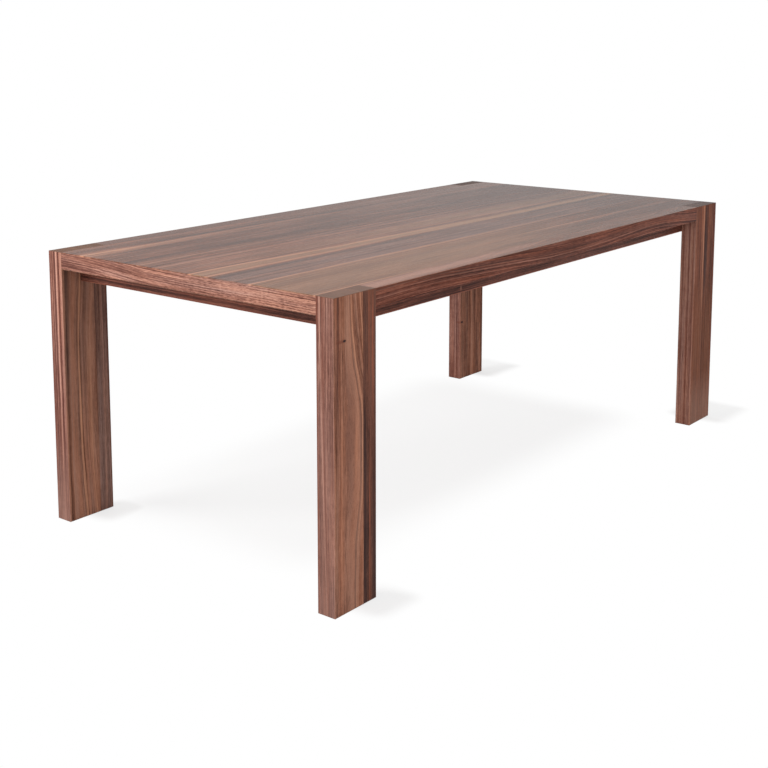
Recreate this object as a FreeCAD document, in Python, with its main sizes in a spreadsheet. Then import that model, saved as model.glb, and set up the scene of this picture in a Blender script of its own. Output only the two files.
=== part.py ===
import FreeCAD, Part
import os

import Sketcher

# A dining table in walnut: a veneered panel between four plank legs that run up through its corners.
# The origin is on the floor under the middle of the top. +X runs along the table to the right,
# +Y from the front to the back, +Z up. All lengths are in millimetres.

SIZES = [
    # the whole table
    ("table_length", 2000, "end to end"),
    ("table_width", 1000, "front to back, over the legs"),
    ("table_height", 750, "floor to top"),
    ("top_thickness", 46, "panel and edge strips"),
    ("edge_radius", 1, "eased edges that a hand can touch"),
    # legs
    ("leg_width", 150, "along the table"),
    ("leg_thickness", 52, "across the table, the edge strip's width too"),
    # panel
    ("leaf_thickness", 2, "face leaves of sawn veneer"),
    ("backing_thickness", 2, "leaf on the underside"),
    ("band_thickness", 6, "bands on the panel's short ends"),
    ("leaf_part_1", 100, "relative widths of the face leaves, from the back"),
    ("leaf_part_2", 231, ""),
    ("leaf_part_3", 232, ""),
    ("leaf_part_4", 135, ""),
    ("leaf_part_5", 198, ""),
    ("spline_thickness", 8, "loose tongue between panel and edge strip"),
    ("spline_width", 20, "half in the panel, half in the strip"),
    ("spline_stop", 30, "from the end of the strip to the end of the spline"),
    # rail frame
    ("rail_depth", 40, "height of the rails under the panel"),
    ("rail_thickness", 25, "of every rail"),
    ("end_setback", 64, "from the table's end to the end rail's face"),
    ("cross_rail_offset", 312, "from the middle of the table to a cross rail"),
    ("tenon_thickness", 11, "stub tenons on the rails"),
    ("tenon_length", 12, "into the rail that holds it"),
    ("tenon_shoulder", 7, "above and below a tenon"),
    ("block_width", 40, "corner blocks, across the table"),
    ("block_overhang", 8, "of a block past the leg"),
    ("block_recess", 4, "of a block's underside above the rails' underside"),
    ("block_chamfer", 10, "on a block's free corner"),
    # leg bolts
    ("bolt_diameter", 6, "shank"),
    ("bolt_reach", 20, "of the bolt in the leg"),
    ("bolt_head_diameter", 10, ""),
    ("bolt_head_height", 6, ""),
    ("socket_width", 5, "hexagon socket, across flats"),
    ("socket_depth", 3, ""),
    ("bolt_rail_margin", 7, "from the end rail to the first bolt"),
    ("bolt_leg_margin", 11.5, "from the leg's inner side to the second bolt"),
    ("washer_diameter", 12, ""),
    ("washer_thickness", 1.6, ""),
    ("insert_diameter", 10, "threaded inserts in the legs"),
    ("insert_length", 16, ""),
    # dowels
    ("leg_dowel_diameter", 12, "between panel and leg"),
    ("leg_dowel_length", 60, ""),
    ("leg_dowel_margin", 40, "from the table's end to the first dowel of a leg"),
    ("leg_dowel_gap", 15, "from the strip dowel's end to the second dowel of a leg"),
    ("strip_dowel_diameter", 10, "between edge strip and leg"),
    ("strip_dowel_length", 50, ""),
    ("dowel_chamfer", 1, ""),
    # screws from the rails into the panel
    ("screw_diameter", 5, "shank"),
    ("screw_reach", 14, "in the core"),
    ("screw_tip", 4, "length of the point"),
    ("screw_head_diameter", 9, ""),
    ("screw_head_height", 3, ""),
    ("counterbore_diameter", 12, "sinks the screw heads in the rails"),
    ("counterbore_depth", 14, ""),
    ("long_screw_count", 6, "in a long rail"),
    ("long_screw_margin", 106, "from a long rail's end to its first screw"),
    ("short_screw_count", 3, "in an end rail or cross rail"),
    ("short_screw_margin", 198, "from the panel's long edge to the first screw"),
    # floor glides
    ("glide_diameter", 24, ""),
    ("glide_thickness", 2.5, "lifts the leg off the floor"),
    ("glide_chamfer", 0.5, ""),
    ("glide_pitch", 100, "the two of a leg"),
    ("nail_diameter", 2.6, "shank"),
    ("nail_reach", 16, "in the leg"),
    ("nail_head_diameter", 6, ""),
    ("nail_head_height", 1, ""),
    ("nail_recess", 1.5, "from the glide's underside to the seat of the nail head"),
    # fits
    ("bore_gap", 0.2, "between a round piece and its bore, on the radius"),
    ("end_room", 1, "past the end of a dowel, spline, tenon or fastener"),
]

# Places and sizes that several pieces share, worked out from the sheet.
HALF_LENGTH = "size.table_length / 2"
HALF_WIDTH = "size.table_width / 2"
INNER_Y = "(size.table_width / 2 - size.leg_thickness)"  # panel edge, rail face and leg's inner face
UNDERSIDE = "(size.table_height - size.top_thickness)"
CORE_THICKNESS = "(size.top_thickness - size.leaf_thickness - size.backing_thickness)"
TOP_MIDDLE = "(size.table_height - size.top_thickness / 2)"
RAIL_MIDDLE = f"({UNDERSIDE} - size.rail_depth / 2)"
STRIP_HALF = "(size.table_length / 2 - size.leg_width)"
SPLINE_HALF = f"({STRIP_HALF} - size.spline_stop)"
FRAME_END = "(size.end_setback + size.rail_thickness)"  # from the table's end to the end rail's back
LONG_RAIL_HALF = f"(size.table_length / 2 - {FRAME_END})"
BLOCK_LENGTH = f"(size.leg_width - {FRAME_END} + size.block_overhang)"
BLOCK_HEIGHT = "(size.rail_depth - size.block_recess)"
BLOCK_FACE = f"({INNER_Y} - size.rail_thickness - size.block_width)"
FIRST_BOLT = f"({FRAME_END} + size.bolt_rail_margin)"  # from the table's end
SECOND_BOLT = "(size.leg_width - size.bolt_leg_margin)"
BOLT_PLACES = [FIRST_BOLT, SECOND_BOLT]
FIRST_DOWEL = "size.leg_dowel_margin"
SECOND_DOWEL = "(size.leg_width - size.strip_dowel_length / 2 - size.leg_dowel_gap)"
LEG_DOWEL_PLACES = [FIRST_DOWEL, SECOND_DOWEL]
GLIDE_PLACES = [f"(size.leg_width / 2 {sign} size.glide_pitch / 2)" for sign in "-+"]
BOLT_BORE = "(size.bolt_diameter + 2 * size.bore_gap)"
INSERT_BORE = "(size.insert_diameter + 2 * size.bore_gap)"
LEG_DOWEL_BORE = "(size.leg_dowel_diameter + 2 * size.bore_gap)"
LEG_DOWEL_DEPTH = "(size.leg_dowel_length / 2 + size.end_room)"
STRIP_DOWEL_BORE = "(size.strip_dowel_diameter + 2 * size.bore_gap)"
STRIP_DOWEL_DEPTH = "(size.strip_dowel_length / 2 + size.end_room)"
SCREW_BORE = "(size.screw_diameter + 2 * size.bore_gap)"
LONG_SCREW_SPAN = f"({LONG_RAIL_HALF} - size.long_screw_margin)"
LONG_SCREW_PITCH = f"(2 * {LONG_SCREW_SPAN} / (size.long_screw_count - 1))"
SHORT_SCREW_SPAN = f"({INNER_Y} - size.short_screw_margin)"
SHORT_SCREW_PITCH = f"(2 * {SHORT_SCREW_SPAN} / (size.short_screw_count - 1))"
LONG_RAIL_Y = f"({INNER_Y} - size.rail_thickness / 2)"
END_RAIL_X = "(size.table_length / 2 - size.end_setback - size.rail_thickness / 2)"

doc = FreeCAD.newDocument("dining_table")
sheet = doc.addObject("Spreadsheet::Sheet", "size")
nodes = []


def fill_sheet():
    for row, (alias, value, note) in enumerate(SIZES, 1):
        sheet.set(f"A{row}", alias)
        sheet.set(f"B{row}", str(value))
        sheet.setAlias(f"B{row}", alias)
        sheet.set(f"C{row}", note)
    doc.recompute()


def number(text):
    return float(sheet.evalExpression(text))


def bind(item, **sizes):
    for name, text in sizes.items():
        item.setExpression(name.replace("__", "."), text)


def new_body(label, x="0", y="0", z="0"):
    body = doc.addObject("PartDesign::Body", label)
    body.Label = label
    bind(body, Placement__Base__x=x, Placement__Base__y=y, Placement__Base__z=z)
    nodes.append(body)
    return body


def origin_part(body, role):
    return next(part for part in body.Origin.OriginFeatures if part.Role == role)


def sketch_on(body, plane, name, x="0", y="0", lift="0"):
    """A sketch on one of the body's planes, moved by x and y in the plane and by lift along its normal."""
    sketch = body.newObject("Sketcher::SketchObject", f"{body.Name}_{name}")
    sketch.AttachmentSupport = [(origin_part(body, plane), "")]
    sketch.MapMode = "FlatFace"
    bind(sketch, AttachmentOffset__Base__x=x, AttachmentOffset__Base__y=y, AttachmentOffset__Base__z=lift)
    return sketch


def tie(sketch, geometry, point, x, y):
    """Ties a point of the sketch's geometry to its place, measured from the sketch's origin."""
    for axis_line, kind, text in ((-2, "DistanceX", x), (-1, "DistanceY", y)):
        if text == "0":
            sketch.addConstraint(Sketcher.Constraint("PointOnObject", geometry, point, axis_line))
            continue
        place = Sketcher.Constraint(kind, -1, 1, geometry, point, number(text))
        sketch.setExpression(f"Constraints[{sketch.addConstraint(place)}]", text)


def outline(sketch, points):
    """A closed outline of straight lines through the points, each an x and a y."""
    corners = [FreeCAD.Vector(number(x), number(y), 0) for x, y in points]
    sides = zip(corners, corners[1:] + corners[:1])
    lines = [sketch.addGeometry(Part.LineSegment(start, end)) for start, end in sides]
    for line, (x, y), following in zip(lines, points, lines[1:] + lines[:1]):
        tie(sketch, line, 1, x, y)
        sketch.addConstraint(Sketcher.Constraint("Coincident", line, 2, following, 1))


def rectangle(sketch, left, right, bottom, top):
    outline(sketch, [(left, bottom), (right, bottom), (right, top), (left, top)])


def circles(sketch, places, diameter):
    for x, y in places:
        centre = FreeCAD.Vector(number(x), number(y), 0)
        ring = sketch.addGeometry(Part.Circle(centre, FreeCAD.Vector(0, 0, 1), number(diameter) / 2))
        tie(sketch, ring, 3, x, y)
        size = Sketcher.Constraint("Diameter", ring, number(diameter))
        sketch.setExpression(f"Constraints[{sketch.addConstraint(size)}]", diameter)


def pad(body, sketch, length):
    feature = body.newObject("PartDesign::Pad", f"{sketch.Name}_pad")
    feature.Profile = sketch
    bind(feature, Length=length)
    doc.recompute()
    return feature


def pocket(body, sketch, depth=None, along_normal=False):
    """Cuts the sketch into the body against its normal, or along it; with no depth, right through."""
    before = body.Shape.Volume
    feature = body.newObject("PartDesign::Pocket", f"{sketch.Name}_pocket")
    feature.Profile = sketch
    feature.Reversed = along_normal
    if depth is None:
        feature.Type = "ThroughAll"
    else:
        bind(feature, Length=depth)
    doc.recompute()
    if body.Shape.Volume >= before:
        raise RuntimeError(f"{feature.Name} cuts nothing")
    return feature


def mirror_feature(body, feature, plane):
    """Adds the feature's mirror image in one of the body's planes."""
    mirror = body.newObject("PartDesign::Mirrored", f"{feature.Name}_{plane}")
    mirror.Originals = [feature]
    mirror.MirrorPlane = (origin_part(body, plane), [""])
    body.Tip = mirror
    doc.recompute()
    return mirror


def mirror_whole(body, plane):
    """Doubles everything in the body by its mirror image in one of the body's planes."""
    mirror = body.newObject("PartDesign::Mirrored", f"{body.Name}_{plane}")
    mirror.TransformMode = "Whole shape"
    mirror.MirrorPlane = (origin_part(body, plane), [""])
    body.Tip = mirror
    doc.recompute()


def repeat_whole(body, axis, pitch, count="2"):
    """Repeats everything in the body along one of its axes."""
    row = body.newObject("PartDesign::LinearPattern", f"{body.Name}_row")
    row.TransformMode = "Whole shape"
    row.Direction = (origin_part(body, axis), [""])
    row.Mode = "Spacing"
    bind(row, Offset=pitch, Occurrences=count)
    body.Tip = row
    doc.recompute()


def ease(body, sides, radius="size.edge_radius"):
    """Rounds the edges where two sides of the body's box meet, each pair named as in XMin, ZMax."""
    base = body.Tip
    box = base.Shape.BoundBox

    def lies_on(edge, side):
        at = getattr(box, side)
        ends = [getattr(edge.BoundBox, side[0] + end) for end in ("Min", "Max")]
        return all(abs(end - at) < 0.01 for end in ends)

    edges = enumerate(base.Shape.Edges, 1)
    pairs = [(place, edge, pair) for place, edge in edges for pair in sides]
    chosen = [f"Edge{place}" for place, edge, pair in pairs if all(lies_on(edge, side) for side in pair)]
    feature = body.newObject("PartDesign::Fillet", f"{body.Name}_eased")
    feature.Base = (base, chosen)
    bind(feature, Radius=radius)
    doc.recompute()


def screw_holes(body, places):
    """Holes up through a rail for the screws, sunk from below."""
    sketch = sketch_on(body, "XY_Plane", "screws")
    circles(sketch, places, SCREW_BORE)
    doc.recompute()
    hole = body.newObject("PartDesign::Hole", f"{body.Name}_screw_holes")
    hole.Profile = sketch
    hole.DepthType = "ThroughAll"
    hole.Reversed = True
    hole.HoleCutType = "Counterbore"
    hole.HoleCutCustomValues = True
    bind(hole, Diameter=SCREW_BORE)
    bind(hole, HoleCutDiameter="size.counterbore_diameter", HoleCutDepth="size.counterbore_depth")
    doc.recompute()


def turned(label, axis, profile, x, y, z):
    """A round piece about an axis along X, Y or Z: its profile lists radius and distance along."""
    body = new_body(label)
    if axis == "Z":
        sketch = sketch_on(body, "XZ_Plane", "profile", x, z, f"-({y})")
    else:
        sketch = sketch_on(body, "XY_Plane", "profile", x, y, z)
    outline(sketch, [(along, radius) if axis == "X" else (radius, along) for radius, along in profile])
    spun = body.newObject("PartDesign::Revolution", f"{label}_turned")
    spun.Profile = sketch
    spun.ReferenceAxis = (sketch, ["H_Axis" if axis == "X" else "V_Axis"])
    spun.Angle = 360
    doc.recompute()
    return body


def mirrored(label, source, *normals):
    """A piece of its own that is the mirror image of another, in the table's middle planes."""
    for step, normal in enumerate(normals, 1):
        image = doc.addObject("Part::Mirroring", label if step == len(normals) else f"{label}_half_way")
        image.Source = source
        image.Normal = FreeCAD.Vector(*normal)
        source = image
    image.Label = label
    nodes.append(image)
    doc.recompute()


ACROSS_X = (1, 0, 0)
ACROSS_Y = (0, 1, 0)


def four_corners(name, source):
    """The other three of a piece that stands at the front left corner."""
    mirrored(f"{name}_front_right", source, ACROSS_X)
    mirrored(f"{name}_back_left", source, ACROSS_Y)
    mirrored(f"{name}_back_right", source, ACROSS_X, ACROSS_Y)


def row_places(count, pitch, span):
    """Places along a rail from one end of the row to the other, about its middle."""
    return [f"({step} * {pitch} - {span})" for step in range(int(number(count)))]


def long_screw_places():
    return row_places("size.long_screw_count", LONG_SCREW_PITCH, LONG_SCREW_SPAN)


def short_screw_places():
    return row_places("size.short_screw_count", SHORT_SCREW_PITCH, SHORT_SCREW_SPAN)


def screws_in_plan():
    """Every screw's place under the panel, from the middle of the table."""
    long_rails = [f"-{LONG_RAIL_Y}", LONG_RAIL_Y]
    short_rails = [f"{sign}{x}" for x in (END_RAIL_X, "size.cross_rail_offset") for sign in ("-", "")]
    places = [(x, y) for x in long_screw_places() for y in long_rails]
    return places + [(x, y) for x in short_rails for y in short_screw_places()]


def make_panel():
    core = new_body("panel_core", z=f"{UNDERSIDE} + size.backing_thickness")
    plan = sketch_on(core, "XY_Plane", "plan")
    core_end = "(size.table_length / 2 - size.band_thickness)"
    rectangle(plan, f"-{core_end}", core_end, f"-{INNER_Y}", INNER_Y)
    pad(core, plan, CORE_THICKNESS)
    middle = "(size.top_thickness / 2 - size.backing_thickness)"
    groove = sketch_on(core, "XZ_Plane", "groove", lift=INNER_Y)
    half = "size.spline_thickness / 2"
    rectangle(groove, f"-{SPLINE_HALF}", SPLINE_HALF, f"{middle} - {half}", f"{middle} + {half}")
    mirror_feature(core, pocket(core, groove, "size.spline_width / 2 + size.end_room"), "XZ_Plane")
    dowels = sketch_on(core, "XZ_Plane", "dowels", lift=INNER_Y)
    ends = [f"{sign}({HALF_LENGTH} - {place})" for place in LEG_DOWEL_PLACES for sign in ("-", "")]
    circles(dowels, [(x, middle) for x in ends], LEG_DOWEL_BORE)
    mirror_feature(core, pocket(core, dowels, LEG_DOWEL_DEPTH), "XZ_Plane")
    pilots = sketch_on(core, "XY_Plane", "pilots")
    circles(pilots, screws_in_plan(), SCREW_BORE)
    pocket(core, pilots, "size.screw_reach + size.end_room", along_normal=True)

    backing = new_body("backing_leaf", z=UNDERSIDE)
    plan = sketch_on(backing, "XY_Plane", "plan")
    rectangle(plan, f"-{HALF_LENGTH}", HALF_LENGTH, f"-{INNER_Y}", INNER_Y)
    pad(backing, plan, "size.backing_thickness")
    ease(backing, [("XMin", "ZMin"), ("XMax", "ZMin")], "min(size.edge_radius; size.backing_thickness / 2)")
    holes = sketch_on(backing, "XY_Plane", "holes")
    circles(holes, screws_in_plan(), SCREW_BORE)
    pocket(backing, holes, along_normal=True)

    band = new_body("end_band_left", x=f"-{HALF_LENGTH}", z=f"{UNDERSIDE} + size.backing_thickness")
    plan = sketch_on(band, "XY_Plane", "plan")
    rectangle(plan, "0", "size.band_thickness", f"-{INNER_Y}", INNER_Y)
    pad(band, plan, CORE_THICKNESS)
    mirrored("end_band_right", band, ACROSS_X)


def make_leaves():
    parts = [alias for alias, _, _ in SIZES if alias.startswith("leaf_part_")]
    total = "(" + " + ".join(f"size.{part}" for part in parts) + ")"
    used = "0"
    for place, part in enumerate(parts, 1):
        start = f"{INNER_Y} - 2 * {INNER_Y} * ({used}) / {total}"
        leaf = new_body(f"top_leaf_{place}", y=start, z="size.table_height - size.leaf_thickness")
        plan = sketch_on(leaf, "XY_Plane", "plan")
        rectangle(plan, f"-{HALF_LENGTH}", HALF_LENGTH, f"-2 * {INNER_Y} * size.{part} / {total}", "0")
        pad(leaf, plan, "size.leaf_thickness")
        ease(leaf, [("XMin", "ZMax"), ("XMax", "ZMax")], "min(size.edge_radius; size.leaf_thickness / 2)")
        used += f" + size.{part}"


def make_edge_strips():
    strip = new_body("edge_strip_front", y=f"-{HALF_WIDTH}", z=UNDERSIDE)
    plan = sketch_on(strip, "XY_Plane", "plan")
    rectangle(plan, f"-{STRIP_HALF}", STRIP_HALF, "0", "size.leg_thickness")
    pad(strip, plan, "size.top_thickness")
    ease(strip, [("YMin", "ZMax"), ("YMin", "ZMin")])
    groove = sketch_on(strip, "XZ_Plane", "groove", lift="-size.leg_thickness")
    half = "size.spline_thickness / 2"
    middle = "size.top_thickness / 2"
    rectangle(groove, f"-{SPLINE_HALF}", SPLINE_HALF, f"{middle} - {half}", f"{middle} + {half}")
    pocket(strip, groove, "size.spline_width / 2 + size.end_room", along_normal=True)
    end = sketch_on(strip, "YZ_Plane", "dowel", lift=STRIP_HALF)
    circles(end, [("size.leg_thickness / 2", middle)], STRIP_DOWEL_BORE)
    mirror_feature(strip, pocket(strip, end, STRIP_DOWEL_DEPTH), "YZ_Plane")
    mirrored("edge_strip_back", strip, ACROSS_Y)

    spline = new_body("edge_spline_front", y=f"-{INNER_Y}", z=f"{TOP_MIDDLE} - {half}")
    plan = sketch_on(spline, "XY_Plane", "plan")
    rectangle(plan, f"-{SPLINE_HALF}", SPLINE_HALF, "-size.spline_width / 2", "size.spline_width / 2")
    pad(spline, plan, "size.spline_thickness")
    mirrored("edge_spline_back", spline, ACROSS_Y)


def make_legs():
    leg = new_body("leg_front_left", f"-{HALF_LENGTH}", f"-{HALF_WIDTH}", "size.glide_thickness")
    plan = sketch_on(leg, "XY_Plane", "plan")
    rectangle(plan, "0", "size.leg_width", "0", "size.leg_thickness")
    pad(leg, plan, "size.table_height - size.glide_thickness")
    upright = [(x, y) for x in ("XMin", "XMax") for y in ("YMin", "YMax")]
    foot = [(side, "ZMin") for side in ("XMin", "XMax", "YMin", "YMax")]
    ease(leg, upright + foot + [("XMin", "ZMax"), ("YMin", "ZMax")])
    rail_level = f"{RAIL_MIDDLE} - size.glide_thickness"
    top_level = f"{TOP_MIDDLE} - size.glide_thickness"
    inner = "-size.leg_thickness"
    inserts = sketch_on(leg, "XZ_Plane", "inserts", lift=inner)
    circles(inserts, [(x, rail_level) for x in BOLT_PLACES], INSERT_BORE)
    pocket(leg, inserts, "size.insert_length", along_normal=True)
    tips = sketch_on(leg, "XZ_Plane", "bolt_tips", lift=inner)
    circles(tips, [(x, rail_level) for x in BOLT_PLACES], BOLT_BORE)
    pocket(leg, tips, "size.bolt_reach + size.end_room", along_normal=True)
    dowels = sketch_on(leg, "XZ_Plane", "dowels", lift=inner)
    circles(dowels, [(x, top_level) for x in LEG_DOWEL_PLACES], LEG_DOWEL_BORE)
    pocket(leg, dowels, LEG_DOWEL_DEPTH, along_normal=True)
    side = sketch_on(leg, "YZ_Plane", "strip_dowel", lift="size.leg_width")
    circles(side, [("size.leg_thickness / 2", top_level)], STRIP_DOWEL_BORE)
    pocket(leg, side, STRIP_DOWEL_DEPTH)
    nails = sketch_on(leg, "XY_Plane", "nails")
    nail_bore = "(size.nail_diameter + 2 * size.bore_gap)"
    circles(nails, [(x, "size.leg_thickness / 2") for x in GLIDE_PLACES], nail_bore)
    pocket(leg, nails, "size.nail_reach + size.end_room", along_normal=True)
    four_corners("leg", leg)


def tenon_outline(sketch, across):
    """A stub tenon's section, or its mortise, at a place across the rail."""
    half = "size.tenon_thickness / 2"
    top = "size.rail_depth - size.tenon_shoulder"
    rectangle(sketch, f"{across} - {half}", f"{across} + {half}", "size.tenon_shoulder", top)


def make_rails():
    level = f"{UNDERSIDE} - size.rail_depth"
    mortise_depth = "size.tenon_length + size.end_room"

    long_rail = new_body("long_rail_front", y=f"-{INNER_Y}", z=level)
    plan = sketch_on(long_rail, "XY_Plane", "plan")
    rectangle(plan, f"-{LONG_RAIL_HALF}", LONG_RAIL_HALF, "0", "size.rail_thickness")
    pad(long_rail, plan, "size.rail_depth")
    ease(long_rail, [("YMin", "ZMin"), ("YMax", "ZMin")])
    tenon = sketch_on(long_rail, "YZ_Plane", "tenon", lift=LONG_RAIL_HALF)
    tenon_outline(tenon, "size.rail_thickness / 2")
    mirror_feature(long_rail, pad(long_rail, tenon, "size.tenon_length"), "YZ_Plane")
    mortise = sketch_on(long_rail, "XZ_Plane", "mortise", lift="-size.rail_thickness")
    tenon_outline(mortise, "size.cross_rail_offset")
    mirror_feature(long_rail, pocket(long_rail, mortise, mortise_depth, along_normal=True), "YZ_Plane")
    bolts = sketch_on(long_rail, "XZ_Plane", "bolts")
    ends = [f"{sign}({HALF_LENGTH} - {place})" for place in BOLT_PLACES for sign in ("-", "")]
    circles(bolts, [(x, "size.rail_depth / 2") for x in ends], BOLT_BORE)
    pocket(long_rail, bolts)
    screw_holes(long_rail, [(x, "size.rail_thickness / 2") for x in long_screw_places()])
    mirrored("long_rail_back", long_rail, ACROSS_Y)

    end_rail = new_body("end_rail_left", x=f"-({HALF_LENGTH} - size.end_setback)", z=level)
    plan = sketch_on(end_rail, "XY_Plane", "plan")
    rectangle(plan, "0", "size.rail_thickness", f"-{INNER_Y}", INNER_Y)
    pad(end_rail, plan, "size.rail_depth")
    ease(end_rail, [("XMin", "ZMin"), ("XMax", "ZMin")])
    mortise = sketch_on(end_rail, "YZ_Plane", "mortise", lift="size.rail_thickness")
    tenon_outline(mortise, LONG_RAIL_Y)
    mirror_feature(end_rail, pocket(end_rail, mortise, mortise_depth), "XZ_Plane")
    screw_holes(end_rail, [("size.rail_thickness / 2", y) for y in short_screw_places()])
    mirrored("end_rail_right", end_rail, ACROSS_X)

    cross_rail = new_body("cross_rail_left", x="-size.cross_rail_offset", z=level)
    cross_half = f"({INNER_Y} - size.rail_thickness)"
    plan = sketch_on(cross_rail, "XY_Plane", "plan")
    half = "size.rail_thickness / 2"
    rectangle(plan, f"-{half}", half, f"-{cross_half}", cross_half)
    pad(cross_rail, plan, "size.rail_depth")
    ease(cross_rail, [("XMin", "ZMin"), ("XMax", "ZMin")])
    tenon = sketch_on(cross_rail, "XZ_Plane", "tenon", lift=cross_half)
    tenon_outline(tenon, "0")
    mirror_feature(cross_rail, pad(cross_rail, tenon, "size.tenon_length"), "XZ_Plane")
    screw_holes(cross_rail, [("0", y) for y in short_screw_places()])
    mirrored("cross_rail_right", cross_rail, ACROSS_X)


def make_corner_blocks():
    x = f"-({HALF_LENGTH} - {FRAME_END})"
    y = f"-({INNER_Y} - size.rail_thickness)"
    block = new_body("corner_block_front_left", x, y, f"{UNDERSIDE} - {BLOCK_HEIGHT}")
    plan = sketch_on(block, "XY_Plane", "plan")
    cut_x = f"{BLOCK_LENGTH} - size.block_chamfer"
    cut_y = "size.block_width - size.block_chamfer"
    corners = [("0", "0"), (BLOCK_LENGTH, "0"), (BLOCK_LENGTH, cut_y), (cut_x, "size.block_width")]
    outline(plan, corners + [("0", "size.block_width")])
    pad(block, plan, BLOCK_HEIGHT)
    bolts = sketch_on(block, "XZ_Plane", "bolts")
    level = f"{BLOCK_HEIGHT} - size.rail_depth / 2"
    circles(bolts, [(f"{place} - {FRAME_END}", level) for place in BOLT_PLACES], BOLT_BORE)
    pocket(block, bolts)
    four_corners("corner_block", block)


def spread_to_corners(body):
    for plane in ("YZ_Plane", "XZ_Plane"):
        mirror_whole(body, plane)


def make_leg_bolts():
    place = (f"-({HALF_LENGTH} - {FIRST_BOLT})", RAIL_MIDDLE)
    pitch = f"{SECOND_BOLT} - {FIRST_BOLT}"

    length = "(size.washer_thickness + size.block_width + size.rail_thickness + size.bolt_reach)"
    head = "size.bolt_head_diameter / 2"
    shank = "size.bolt_diameter / 2"
    top = "size.bolt_head_height"
    profile = [("0", top), (head, top), (head, "0"), (shank, "0")]
    profile += [(shank, f"-{length}"), ("0", f"-{length}")]
    seat = f"-{BLOCK_FACE} + size.washer_thickness"
    bolts = turned("leg_bolts", "Y", profile, place[0], seat, place[1])
    socket = sketch_on(bolts, "XZ_Plane", "socket", place[0], place[1], f"-({seat} + {top})")
    corner = "size.socket_width / (2 * cos(30))"
    turns = [60 * step for step in range(6)]
    outline(socket, [(f"{corner} * cos({turn})", f"{corner} * sin({turn})") for turn in turns])
    pocket(bolts, socket, "size.socket_depth", along_normal=True)

    washer = [
        (f"{BOLT_BORE} / 2", "0"),
        ("size.washer_diameter / 2", "0"),
        ("size.washer_diameter / 2", "size.washer_thickness"),
        (f"{BOLT_BORE} / 2", "size.washer_thickness"),
    ]
    washers = turned("leg_bolt_washers", "Y", washer, place[0], f"-{BLOCK_FACE}", place[1])

    insert = [
        (f"{BOLT_BORE} / 2", "0"),
        ("size.insert_diameter / 2", "0"),
        ("size.insert_diameter / 2", "-size.insert_length"),
        (f"{BOLT_BORE} / 2", "-size.insert_length"),
    ]
    inserts = turned("leg_inserts", "Y", insert, place[0], f"-{INNER_Y}", place[1])

    for body in (bolts, washers, inserts):
        repeat_whole(body, "X_Axis", pitch)
        spread_to_corners(body)


def dowel_profile(diameter, length):
    radius = f"{diameter} / 2"
    tip = f"{radius} - size.dowel_chamfer"
    end = f"{length} / 2"
    side = f"{end} - size.dowel_chamfer"
    upper = [("0", end), (tip, end), (radius, side)]
    return upper + [(x, f"-({y})") for x, y in reversed(upper)]


def make_dowels():
    profile = dowel_profile("size.leg_dowel_diameter", "size.leg_dowel_length")
    first = f"-({HALF_LENGTH} - {FIRST_DOWEL})"
    leg_dowels = turned("leg_dowels", "Y", profile, first, f"-{INNER_Y}", TOP_MIDDLE)
    repeat_whole(leg_dowels, "X_Axis", f"{SECOND_DOWEL} - {FIRST_DOWEL}")
    spread_to_corners(leg_dowels)

    profile = dowel_profile("size.strip_dowel_diameter", "size.strip_dowel_length")
    y = f"-({HALF_WIDTH} - size.leg_thickness / 2)"
    strip_dowels = turned("strip_dowels", "X", profile, f"-{STRIP_HALF}", y, TOP_MIDDLE)
    spread_to_corners(strip_dowels)


def make_screws():
    """Screws up through the rails, in a row for each kind of rail, and the rows' mirror images."""
    length = "(size.rail_depth - size.counterbore_depth + size.backing_thickness + size.screw_reach)"
    head = "size.screw_head_diameter / 2"
    shank = "size.screw_diameter / 2"
    under = "-size.screw_head_height"
    profile = [("0", under), (head, under), (head, "0"), (shank, "0")]
    profile += [(shank, f"{length} - size.screw_tip"), ("0", length)]
    seat = f"{UNDERSIDE} - size.rail_depth + size.counterbore_depth"
    first_y = f"-{SHORT_SCREW_SPAN}"

    screws = turned("long_rail_screws", "Z", profile, f"-{LONG_SCREW_SPAN}", f"-{LONG_RAIL_Y}", seat)
    repeat_whole(screws, "X_Axis", LONG_SCREW_PITCH, "size.long_screw_count")
    mirror_whole(screws, "XZ_Plane")
    for label, x in (("end_rail_screws", END_RAIL_X), ("cross_rail_screws", "size.cross_rail_offset")):
        screws = turned(label, "Z", profile, f"-{x}", first_y, seat)
        repeat_whole(screws, "Y_Axis", SHORT_SCREW_PITCH, "size.short_screw_count")
        mirror_whole(screws, "YZ_Plane")


def make_glides():
    x = f"-({HALF_LENGTH} - {GLIDE_PLACES[0]})"
    y = f"-({HALF_WIDTH} - size.leg_thickness / 2)"
    outer = "size.glide_diameter / 2"
    bore = "size.nail_diameter / 2 + size.bore_gap"
    sink = "size.nail_head_diameter / 2 + size.bore_gap"
    ring = [
        (sink, "0"),
        (f"{outer} - size.glide_chamfer", "0"),
        (outer, "size.glide_chamfer"),
        (outer, "size.glide_thickness"),
        (bore, "size.glide_thickness"),
        (bore, "size.nail_recess"),
        (sink, "size.nail_recess"),
    ]
    glides = turned("glides_front_left", "Z", ring, x, y, "0")
    repeat_whole(glides, "X_Axis", "size.glide_pitch")
    four_corners("glides", glides)

    head = "size.nail_head_diameter / 2"
    shank = "size.nail_diameter / 2"
    under = "-size.nail_head_height"
    tip = "size.glide_thickness - size.nail_recess + size.nail_reach"
    profile = [("0", under), (head, under), (head, "0"), (shank, "0"), (shank, tip), ("0", tip)]
    nails = turned("glide_nails", "Z", profile, x, y, "size.nail_recess")
    repeat_whole(nails, "X_Axis", "size.glide_pitch")
    spread_to_corners(nails)


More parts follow.
